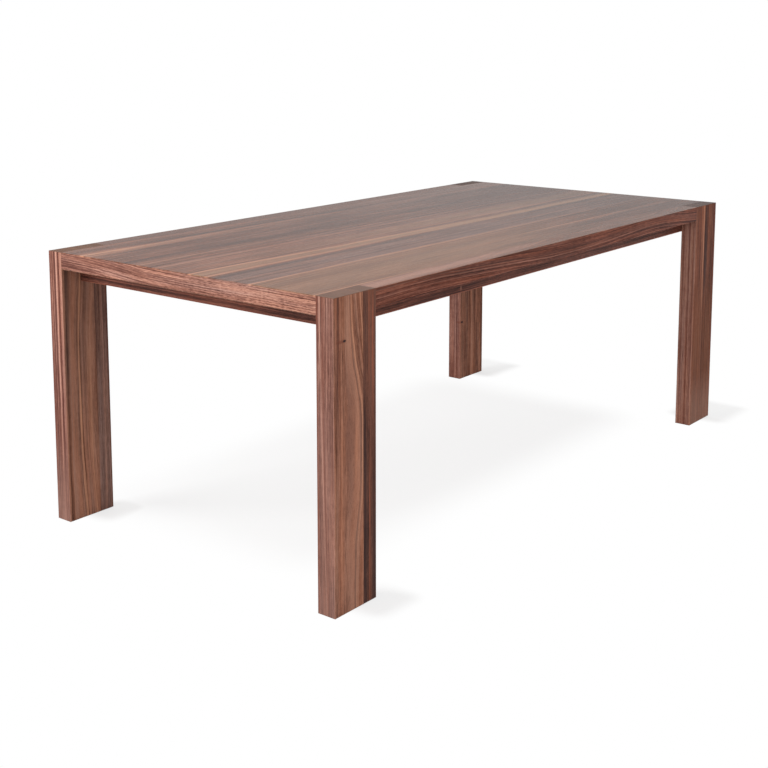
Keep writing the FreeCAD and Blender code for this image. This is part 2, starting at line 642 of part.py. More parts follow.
def export():
    doc.recompute()
    failed = [item.Name for item in doc.Objects if {"Invalid", "Error"} & set(item.State)]
    failed += [node.Label for node in nodes if node.Shape.isNull() or not node.Shape.isValid()]
    if failed:
        raise RuntimeError(f"not made: {failed}")
    os.makedirs("parts", exist_ok=True)
    for node in nodes:
        node.Shape.exportStep(f"parts/{node.Label}.step")
        print(node.Label, len(node.Shape.Solids), round(node.Shape.Volume))


fill_sheet()
make_panel()
make_leaves()
make_edge_strips()
make_legs()
make_rails()
make_corner_blocks()
make_leg_bolts()
make_dowels()
make_screws()
make_glides()
export()
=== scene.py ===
"""Looks of the dining table: lacquered walnut on every board, the hidden fittings, and a plain studio.

Sizes of finishes are in millimetres, and those of the studio in metres. Colours are written as the eye
sees them, from 0 to 255.
"""
import math
from types import SimpleNamespace

import bmesh
import bpy
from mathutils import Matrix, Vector


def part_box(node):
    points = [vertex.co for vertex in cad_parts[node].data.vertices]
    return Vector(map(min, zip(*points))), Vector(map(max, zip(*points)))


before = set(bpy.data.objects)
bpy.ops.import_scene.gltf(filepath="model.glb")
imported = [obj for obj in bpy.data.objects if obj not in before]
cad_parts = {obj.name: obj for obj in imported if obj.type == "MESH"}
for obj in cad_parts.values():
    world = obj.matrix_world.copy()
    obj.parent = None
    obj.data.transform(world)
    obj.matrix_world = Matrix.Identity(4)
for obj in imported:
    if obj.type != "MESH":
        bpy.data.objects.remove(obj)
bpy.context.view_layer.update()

# Millimetres in a metre.
MILLIMETRES = 1000
WHITE = (1.0, 1.0, 1.0, 1.0)


def paint(red, green, blue):
    """Turns a colour as the eye sees it into the linear colour that a socket takes."""
    seen = (red / 255, green / 255, blue / 255)
    return tuple(c / 12.92 if c < 0.04 else ((c + 0.055) / 1.055) ** 2.4 for c in seen) + (1.0,)


class Value:
    """A number that changes over a surface: the output that gives it, and the sums written with it."""

    def __init__(self, finish, output):
        self.finish = finish
        self.output = output

    def __add__(self, other):
        return self.finish.sum("ADD", self, other)

    def __radd__(self, other):
        return self.finish.sum("ADD", other, self)

    def __sub__(self, other):
        return self.finish.sum("SUBTRACT", self, other)

    def __rsub__(self, other):
        return self.finish.sum("SUBTRACT", other, self)

    def __mul__(self, other):
        return self.finish.sum("MULTIPLY", self, other)

    def __truediv__(self, other):
        return self.finish.sum("DIVIDE", self, other)

    def __pow__(self, other):
        return self.finish.sum("POWER", self, other)

    def __abs__(self):
        return self.finish.sum("ABSOLUTE", self, 0.0)


class Nodes:
    """The nodes of a material or of the studio's surroundings."""

    def __init__(self, owner):
        owner.use_nodes = True
        self.tree = owner.node_tree

    def node(self, kind, settings, inputs):
        """Adds a node, gives it its settings, then its values or links, and returns its outputs."""
        node = self.tree.nodes.new("ShaderNode" + kind)
        for name, value in settings.items():
            if name == "stops":
                self.set_stops(node.color_ramp, *value)
            else:
                setattr(node, name, value)
        for name, value in inputs.items():
            self.fill(node.inputs[name], value)
        return [Value(self, output) for output in node.outputs]

    def set_stops(self, ramp, interpolation, stops):
        """Gives a ramp its stops, each a position and a colour."""
        ramp.interpolation = interpolation
        while len(ramp.elements) < len(stops):
            ramp.elements.new(1.0)
        for element, (position, colour) in zip(ramp.elements, stops):
            element.position = position
            element.color = colour

    def fill(self, socket, value):
        """Links a socket to a value that changes, or sets it to one that doesn't."""
        if isinstance(value, Value):
            self.tree.links.new(value.output, socket)
        else:
            socket.default_value = value

    def sum(self, operation, first, second):
        """One Math node."""
        return self.node("Math", {"operation": operation}, {0: first, 1: second})[0]

    def noise(self, x, y, z, detail=2.0, roughness=0.5):
        """Soft noise in three directions, each already divided by the size of its grains."""
        place = self.node("CombineXYZ", {}, {0: x, 1: y, 2: z})[0]
        return self.node("TexNoise", {"noise_dimensions": "3D"},
                         {"Vector": place, "Scale": 1.0, "Detail": detail, "Roughness": roughness})[0]

    def grains(self, place, length, width, detail=2.0, roughness=0.5):
        """Soft noise in grains of a length along the board and a width in both directions across it."""
        along, side, far = place
        return self.noise(along / length, side / width, far / width, detail, roughness)

    def bands(self, value, detail=2.0, roughness=0.5):
        """Soft noise along one number, for bands of uneven width."""
        return self.node("TexNoise", {"noise_dimensions": "1D"},
                         {"W": value, "Scale": 1.0, "Detail": detail, "Roughness": roughness})[0]

    def step(self, value, start, end):
        """Rises smoothly from 0 at start to 1 at end."""
        return self.node("MapRange", {"interpolation_type": "SMOOTHSTEP"},
                         {"Value": value, "From Min": start, "From Max": end})[0]

    def ramp(self, value, stops, interpolation="LINEAR"):
        """The colour that a number has between the stops."""
        return self.node("ValToRGB", {"stops": (interpolation, stops)}, {0: value})[0]

    def path(self, value, points):
        """A number that runs smoothly through points, each a place and the number there."""
        first, last = points[0][0], points[-1][0]
        least = min(number for place, number in points)
        span = max(max(number for place, number in points) - least, 1e-6)
        stops = []
        for place, number in points:
            share = (number - least) / span
            stops.append(((place - first) / (last - first), (share, share, share, 1.0)))
        return self.ramp((value - first) / (last - first), stops, "CARDINAL") * span + least

    def mix(self, first, second, share):
        """One colour laid over another by a share."""
        return self.node("Mix", {"data_type": "RGBA"}, {0: share, 6: first, 7: second})[2]

    def bump(self, height, strength, depth):
        """The surface's tilt from a height."""
        return self.node("Bump", {},
                         {"Height": height, "Strength": strength, "Distance": depth / MILLIMETRES})[0]

    def seen(self):
        """1 for a ray from the camera, or one that shows the studio in gloss or through glass."""
        rays = self.node("LightPath", {}, {})
        camera, glossy, through = rays[0], rays[3], rays[6]
        return self.sum("MINIMUM", camera + glossy + through, 1.0)


class Finish(Nodes):
    """One finish: a material, the shader at the end of its nodes, and the place on it."""

    def __init__(self, name):
        self.material = bpy.data.materials.new(name)
        super().__init__(self.material)
        self.shader = self.tree.nodes["Principled BSDF"]
        place = self.node("TexCoord", {}, {})[3]
        metres = self.node("SeparateXYZ", {}, {0: place})
        self.place = {axis: metres[i] * MILLIMETRES for i, axis in enumerate("xyz")}

    def set(self, **sockets):
        """Fills the shader's own sockets, named with underscores for spaces."""
        for name, value in sockets.items():
            self.fill(self.shader.inputs[name.replace("_", " ")], value)

    def lay_on(self, *nodes):
        """Gives the finish to pieces of the table."""
        for node in nodes:
            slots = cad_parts[node].data.materials
            slots.clear()
            slots.append(self.material)


SAPWOOD = paint(192, 137, 108)
ROSE = paint(186, 138, 120)
# The next colour is painted light from the white floor, laid over the lowest part of two legs' narrow
# faces.
FLOOR_BOUNCE_GREY = paint(136, 106, 96)
TAN = paint(156, 121, 95)
OLIVE = paint(108, 65, 42)
# The next colour is painted light from the white floor, laid over the lowest part of the front right leg.
FLOOR_BOUNCE_TAN = paint(134, 100, 86)
PLUM = paint(108, 74, 64)
SEAM = paint(78, 40, 34)
INK = paint(54, 40, 40)
SCAR = paint(104, 54, 42)
EMBER = paint(152, 88, 66)
PORE = paint(52, 36, 31)
END_GRAIN = paint(106, 74, 56)
DULL_END = paint(64, 48, 42)

# The tones of heartwood, from its darkest to its lightest.
BROWN = [paint(76, 49, 40), paint(108, 73, 59), paint(132, 92, 75), paint(156, 112, 93)]
WARM = [paint(74, 46, 37), paint(112, 73, 58), paint(140, 95, 76), paint(166, 117, 95)]
MAUVE = [paint(82, 59, 53), paint(110, 81, 71), paint(130, 98, 87), paint(150, 116, 103)]
PINK = [paint(86, 53, 46), paint(122, 82, 71), paint(150, 107, 93), paint(182, 136, 118)]
RED = [paint(54, 30, 25), paint(86, 50, 41), paint(110, 66, 54), paint(138, 87, 71)]
RUSSET = [paint(58, 31, 23), paint(90, 51, 38), paint(114, 68, 51), paint(138, 88, 68)]
DARK = [paint(38, 26, 24), paint(62, 41, 36), paint(86, 56, 47), paint(112, 74, 61)]

# Where each tone lies between dark and light, and the shade of wood that nothing lifts or lowers.
TONE_STOPS = (0.08, 0.36, 0.6, 0.92)
MIDDLE_SHADE = 0.52

# How tones turn where the wood is greyer and where it is redder, as shares of red, green and blue.
GREYER = (0.95, 1.0, 1.05)
REDDER = (1.05, 0.97, 0.91)

# The weights of the parts of the grain in the wood's shade.
STRIPE_WEIGHT = 1.1
THREAD_WEIGHT = 1.1
FIBRE_WEIGHT = 1.1
CLOUD_WEIGHT = 0.7
LATE_WEIGHT = 0.4

# How far along the tree one seed lies from the next, so that no two boards share a figure.
SEED_STEP = 1370

# The lacquer of the top is smoother than that of the other boards.
TOP_LACQUER = dict(gloss=0.022, rough=0.25)


def growth(finish, node, run, face, heart, seed, bend=None, calm=None, sway=4.0, year=3.4, band=4.5):
    """How a board grew: its rings, fibres and pores, from where the heart of the tree lay beside it.

    run is the axis of the grain and face the axis across the board's wide face. heart gives the place of
    the tree's heart across and below the board's middle. bend is a line along the board that the grain
    follows, and calm the two places across it between which the bend grows from little to all. sway is
    how far the grain wanders, year the width of a year's growth and band that of the broader stripes.
    The numbers added to the noises' places only keep one noise apart from another.
    """
    below = next(axis for axis in "xyz" if axis not in (run, face))
    low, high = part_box(node)
    middle = dict(zip("xyz", (low + high) * (MILLIMETRES / 2)))
    half = dict(zip("xyz", (high - low) * (MILLIMETRES / 2)))
    along, across, depth = [finish.place[axis] - middle[axis] for axis in (run, face, below)]
    start = along + seed * SEED_STEP
    straight = (start, across, depth)
    drift = (finish.grains(straight, length=420, width=150, detail=1.0) - 0.5) * (2.4 * sway)
    waver = (finish.grains(straight, length=95, width=40) - 0.5) * (0.6 * sway)
    follow = across + drift + waver
    if bend:
        turn = finish.path(along, bend)
        if calm:
            turn = turn * (0.12 + finish.step(across, *calm) * 0.88)
        follow = follow - turn
    side = follow - heart[0]
    far = depth + drift * 0.3 - heart[1]
    radius = (side * side + far * far) ** 0.5
    years = radius / year + seed * 7
    years = years + finish.bands(years * 0.23) * 2.2
    bent = (start, side, far)
    return SimpleNamespace(
        along=along, across=across, depth=depth, follow=follow, start=start,
        half_along=half[run], half_across=half[face], half_depth=half[below],
        late=finish.sum("FRACT", years, 0.0) ** 3 * finish.bands(years * 0.41 + 40),
        stripe=finish.bands(radius / band + seed * 3, detail=3.0, roughness=0.55),
        fibre=finish.grains(bent, length=26, width=1.1, roughness=0.6),
        thread=finish.grains(bent, length=190, width=2.6, roughness=0.6),
        cloud=finish.grains(bent, length=260, width=38, detail=1.0),
        blush=finish.noise(start / 330 + 50, side / 17, far / 17),
        curl=finish.grains(bent, length=10, width=42, detail=1.0),
        pore=finish.step(finish.grains(bent, length=5.5, width=0.38, detail=1.0), 0.60, 0.74),
    )


def tinted(tones, turn):
    """The same tones, each with its colour turned a little."""
    return [tuple(part * share for part, share in zip(tone, (*turn, 1.0))) for tone in tones]


def heartwood(finish, grain, tones, lift=0.0, contrast=1.0, figure=0.14):
    """The colour of a board's heartwood, from its darkest to its lightest tone, and from grey to red.

    lift makes it lighter, contrast spreads its shades, and figure is the weight of the curl across it.
    """
    shade = MIDDLE_SHADE + lift - grain.late * (LATE_WEIGHT * contrast)
    for part, weight in [(grain.stripe, STRIPE_WEIGHT), (grain.thread, THREAD_WEIGHT),
                         (grain.fibre, FIBRE_WEIGHT), (grain.cloud, CLOUD_WEIGHT)]:
        shade = shade + (part - 0.5) * (weight * contrast)
    shade = shade + (grain.curl - 0.5) * figure
    grey, red = [finish.ramp(shade, list(zip(TONE_STOPS, tinted(tones, turn))))
                 for turn in (GREYER, REDDER)]
    return finish.mix(grey, red, finish.step(grain.blush, 0.32, 0.68))


def streak(finish, grain, wood, colour, at, width, strength, through="follow"):
    """A streak of another colour along the grain.

    at is its place, width half its width and strength its share over the wood. at and strength may be
    paths along the board. through says how its place is measured: across the board with the bends of
    the grain (follow), straight across it (across) or through its thickness (depth).
    """
    place = (grain.start, grain.follow, grain.depth)
    wobble = (finish.grains(place, length=80, width=7) - 0.5) * width
    if isinstance(at, list):
        at = finish.path(grain.along, at)
    away = abs(getattr(grain, through) - at + wobble)
    share = finish.step(away, width, width * 0.1) * (0.4 + grain.thread * 1.2)
    if isinstance(strength, list):
        strength = finish.path(grain.along, strength)
    return finish.mix(wood, colour, finish.sum("MINIMUM", share * strength, 1.0))


def streaked(finish, grain, wood, marks, **measure):
    """Wood with streaks, each with what streak takes for it: colour, place, half width and strength."""
    for mark in marks:
        wood = streak(finish, grain, wood, *mark, **measure)
    return wood


def lacquer(finish, grain, wood, gloss=0.07, rough=0.45):
    """Pores and satin lacquer over the wood."""
    finish.set(
        Base_Color=finish.mix(wood, PORE, grain.pore * 0.5),
        Roughness=rough + (grain.fibre - 0.5) * 0.16 + grain.pore * 0.12,
        Normal=finish.bump(grain.fibre * 0.4 - grain.pore, strength=0.3, depth=0.12),
        Specular_IOR_Level=gloss,
    )


def top_leaf_walnut(node, tones, lift, heart, seed, streaks):
    """A leaf of the top: long straight stripes with its own streaks, and a dark glue line at its edges.

    tones gives the tones at the leaf's left end and at its right end. Where they turn greyer at the right
    end, and lift falls there, that is painted sheen and painted shade over the leaf's own changes of
    tone.
    """
    finish = Finish(node + "_walnut")
    grain = growth(finish, node, "x", "y", heart, seed, band=9.0)
    lift = finish.path(grain.along, lift)
    left, right = [heartwood(finish, grain, some, lift, contrast=0.75) for some in tones]
    wood = finish.mix(left, right, finish.step(grain.along, -grain.half_along, grain.half_along))
    wood = streaked(finish, grain, wood, streaks)
    glue = finish.step(abs(grain.across), grain.half_across - 0.7, grain.half_across - 0.1)
    wood = finish.mix(wood, INK, glue * 0.4)
    lacquer(finish, grain, wood, **TOP_LACQUER)
    finish.lay_on(node)


# Paths in the lists of boards run along the board and are measured from its middle.
# Every leaf's lift falls towards its right end, and the first three turn from WARM to the greyer MAUVE
# there: painted shade and painted sheen along the top, over the leaves' own changes of tone.
TOP_LEAVES = [
    dict(node="top_leaf_1", tones=(WARM, MAUVE), heart=(160, -150), seed=1,
         lift=[(-1000, 0.0), (-600, -0.15), (-200, -0.16), (1000, -0.12)],
         streaks=[(INK, [(-1000, 2), (-700, -6), (-175, -14), (200, -18)], 17,
                   [(-1000, 0.5), (-500, 0.6), (0, 0.5), (400, 0.2), (1000, 0.0)]),
                  (SAPWOOD, -37, 15, [(-1000, 0.9), (-550, 0.35), (0, 0.1), (1000, 0.0)])]),
    dict(node="top_leaf_2", tones=(WARM, MAUVE), heart=(-260, -170), seed=2,
         lift=[(-1000, -0.1), (-550, -0.22), (300, -0.2), (1000, -0.37)],
         streaks=[(SAPWOOD, 108, 22, [(-1000, 0.4), (-500, 0.15), (0, 0.0), (1000, 0.0)]),
                  (INK, -36, 26, [(-1000, 0.5), (1000, 0.3)]),
                  (SAPWOOD, -86, 9, [(-1000, 0.45), (-300, 0.2), (200, 0.05), (1000, 0.0)])]),
    dict(node="top_leaf_3", tones=(WARM, MAUVE), heart=(210, -190), seed=3,
         lift=[(-1000, -0.03), (-550, -0.01), (200, -0.08), (1000, -0.35)],
         streaks=[(SAPWOOD, 76, 6, [(-1000, 0.2), (-200, 0.15), (1000, 0.0)]),
                  (TAN, 0, 46, [(-1000, 0.0), (-300, 0.2), (200, 0.35), (1000, 0.25)]),
                  (TAN, [(-1000, -70), (0, -90), (1000, -96)], 34,
                   [(-1000, 0.6), (-600, 0.5), (0, 0.65), (1000, 0.5)]),
                  (SAPWOOD,
                   [(-1000, -43), (-700, -53), (-475, -64), (-175, -73), (200, -85), (1000, -96)], 10,
                   [(-1000, 0.8), (-300, 0.55), (200, 0.25), (1000, 0.1)]),
                  (SAPWOOD, -40, 12,
                   [(-1000, 0.0), (-350, 0.05), (150, 0.35), (650, 0.3), (1000, 0.2)]),
                  (SAPWOOD, -100, 12, [(-1000, 0.6), (-400, 0.3), (1000, 0.1)])]),
    dict(node="top_leaf_4", tones=(MAUVE, MAUVE), heart=(-150, -140), seed=4,
         lift=[(-1000, 0.04), (200, -0.08), (1000, -0.32)],
         streaks=[(INK, 52, 18, [(-1000, 0.6), (-400, 0.4), (0, 0.15), (1000, 0.15)]),
                  (SAPWOOD, [(-1000, -62), (-475, -66)], 8,
                   [(-1000, 0.75), (-300, 0.6), (200, 0.25), (1000, 0.0)])]),
    dict(node="top_leaf_5", tones=(BROWN, BROWN), heart=(180, -160), seed=5,
         lift=[(-1000, 0.06), (0, -0.07), (1000, -0.31)],
         streaks=[(TAN, 0, 220, [(-1000, 0.4), (-400, 0.4), (0, 0.25), (400, 0.0), (1000, 0.0)]),
                  (SAPWOOD, 97, 8,
                   [(-1000, 0.0), (-650, 0.1), (-350, 0.45), (0, 0.4), (400, 0.3), (1000, 0.0)]),
                  (INK, -37, 30, [(-1000, 0.0), (-100, 0.0), (150, 0.2), (1000, 0.2)]),
                  (INK, 42, 24, [(-1000, 0.3), (-300, 0.2), (300, 0.0), (1000, 0.0)]),
                  (SAPWOOD, 4, 6, [(-1000, 0.15), (-100, 0.1), (150, 0.6), (500, 0.4), (1000, 0.0)]),
                  (SAPWOOD, -95, 5,
                   [(-1000, 0.7), (-800, 0.6), (-600, 0.3), (-300, 0.0), (1000, 0.0)])]),
]


def edge_strip_walnut(node, heart, seed, bend, streaks, top_streaks):
    """A strip along a long side: fine wandering lines on its face, and a quieter top."""
    finish = Finish(node + "_walnut")
    grain = growth(finish, node, "x", "z", heart, seed, bend=bend, sway=1.4, band=4.0)
    grain.cloud = 0.5 + (grain.cloud - 0.5) * 0.7
    # The face takes the darker, redder RED tones and the top the BROWN ones: painted shade on the face,
    # over the strip's own lines.
    wood = heartwood(finish, grain, RED, lift=0.08, contrast=1.3)
    wood = streaked(finish, grain, wood, streaks)
    top = heartwood(finish, grain, BROWN, lift=-0.02, contrast=0.8)
    top = streaked(finish, grain, top, top_streaks, through="depth")
    on_top = finish.step(grain.across, grain.half_across - 1.5, grain.half_across - 0.2)
    lacquer(finish, grain, finish.mix(wood, top, on_top), **TOP_LACQUER)
    finish.lay_on(node)


EDGE_STRIPS = [
    dict(node="edge_strip_front", heart=(-95, 40), seed=11,
         bend=[(-850, 10), (-600, 12), (-200, -5), (60, -12), (300, -6), (470, 2), (650, 0),
               (850, -14)],
         streaks=[(ROSE, -2, 2.4,
                   [(-850, 0.1), (-650, 0.25), (-100, 0.26), (300, 0.22), (600, 0.15), (850, 0.1)]),
                  (ROSE, 6, 1.8, [(-850, 0.25), (-500, 0.2), (0, 0.1), (850, 0.1)]),
                  (ROSE, -13, 1.8, [(-850, 0.2), (-300, 0.15), (300, 0.1), (850, 0.2)]),
                  (INK, 11, 6, [(-850, 0.0), (-450, 0.2), (-100, 0.4), (300, 0.3), (850, 0.1)]),
                  (INK, -8, 4, [(-850, 0.2), (300, 0.35), (850, 0.4)])],
         top_streaks=[(ROSE, [(-850, 0), (-300, 8), (100, 20), (850, 26)], 40,
                       [(-850, 0.6), (-400, 0.5), (-230, 0.3), (0, 0.0), (850, 0.0)]),
                      (INK, 0, 60, [(-850, 0.0), (0, 0.0), (300, 0.15), (850, 0.25)])]),
    dict(node="edge_strip_back", heart=(-95, -40), seed=12,
         bend=[(-850, -8), (-300, 6), (200, 9), (850, -10)],
         streaks=[(ROSE, 4, 2.4, 0.25), (INK, -8, 5, 0.35)],
         top_streaks=[(PLUM, 0, 60, 0.4), (INK, 0, 60, 0.25)]),
]


def end_band_walnut(node, seed, bend, lift):
    """A band across an end: lines that sweep down along it and break up into a mottled flame."""
    finish = Finish(node + "_walnut")
    grain = growth(finish, node, "y", "z", (-70, 40), seed, bend=bend, sway=1.6, year=4.2, band=3.6)
    flame = finish.path(grain.along, [(-450, 0.9), (-50, 0.5), (450, 0.1)])
    mottle = finish.grains((grain.start, grain.follow, grain.depth), length=9, width=1.8)
    grain.fibre = grain.fibre + (mottle - 0.5) * flame
    lift = finish.path(grain.along, lift)
    wood = heartwood(finish, grain, PINK, lift, contrast=1.4, figure=flame * 0.5)
    lacquer(finish, grain, wood)
    finish.lay_on(node)


END_BANDS = [
    dict(node="end_band_left", seed=13,
         bend=[(-450, -7), (-100, -5), (33, -3), (167, 2), (300, 13), (450, 18)],
         lift=[(-450, 0.14), (0, 0.0), (450, -0.1)]),
    dict(node="end_band_right", seed=14,
         bend=[(-450, 10), (-100, 2), (200, -6), (450, -2)],
         lift=[(-450, -0.06), (450, 0.02)]),
]


def leg_walnut(node, tones, lift, heart, seed, streaks, edge, edge_streaks, joint, stave, stave_streaks,
               bend=None, calm=None, knot=None, end=END_GRAIN, sheen=0.17):
    """A leg glued from two staves, with flame on its wide faces and stripes on its narrow ones.

    edge gives the tones and the lift of the narrow faces, and stave those of the second stave, which
    starts at joint. A knot has its place across the leg, its height and its size. end is the colour of
    the end grain, and sheen the weight of the lacquer on it.
    """
    edge_tones, edge_lift = edge
    stave_tones, stave_lift = stave
    finish = Finish(node + "_walnut")
    grain = growth(finish, node, "z", "x", heart, seed, bend=bend, calm=calm, sway=2.0)
    wood = heartwood(finish, grain, tones, finish.path(grain.along, lift))
    wood = streaked(finish, grain, wood, streaks)
    narrow = heartwood(finish, grain, edge_tones, finish.path(grain.along, edge_lift), contrast=0.8)
    narrow = streaked(finish, grain, narrow, edge_streaks, through="depth")
    out = abs(grain.across) - grain.half_across
    wood = finish.mix(wood, narrow, finish.step(out, -1.4, -0.4))
    other = growth(finish, node, "z", "x", (60 - heart[0], -heart[1]), seed + 11, sway=2.5)
    second = heartwood(finish, other, stave_tones, finish.path(grain.along, stave_lift), contrast=1.2)
    second = streaked(finish, other, second, stave_streaks)
    wood = finish.mix(wood, second, finish.step(grain.across, joint - 0.3, joint + 0.3))
    if knot:
        wood = knotted(finish, grain, wood, *knot)
    deep = abs(grain.depth) - grain.half_depth
    # Paler vertical edges: a painted highlight along the leg's arrises, with light wear there.
    arris_highlight = finish.step(out, -1.2, -0.1) * finish.step(deep, -1.2, -0.1)
    wood = finish.mix(wood, SAPWOOD, arris_highlight * 0.35)
    ends = finish.step(abs(grain.along) - grain.half_along, -1.15, -0.35)
    wood = finish.mix(wood, end, ends * (0.5 + grain.stripe * 0.6))
    lacquer(finish, grain, wood, gloss=0.03)
    finish.set(Coat_Weight=ends * sheen, Coat_Roughness=0.3)
    finish.lay_on(node)


def knotted(finish, grain, wood, across, height, size):
    """A small knot in the leg's front face: a dark eye with a scar beside it, both lying flat."""
    rise = (finish.place["z"] - height) ** 2
    inside = (grain.depth + grain.half_depth) ** 2
    scar = ((grain.across - across + size * 2.5) ** 2 + rise * 14 + inside) ** 0.5
    wood = finish.mix(wood, SCAR, finish.step(scar, size * 4.5, size) * 0.5)
    eye = ((grain.across - across) ** 2 + rise * 3 + inside) ** 0.5
    return finish.mix(wood, INK, finish.step(eye, size * 1.5, size * 0.6))


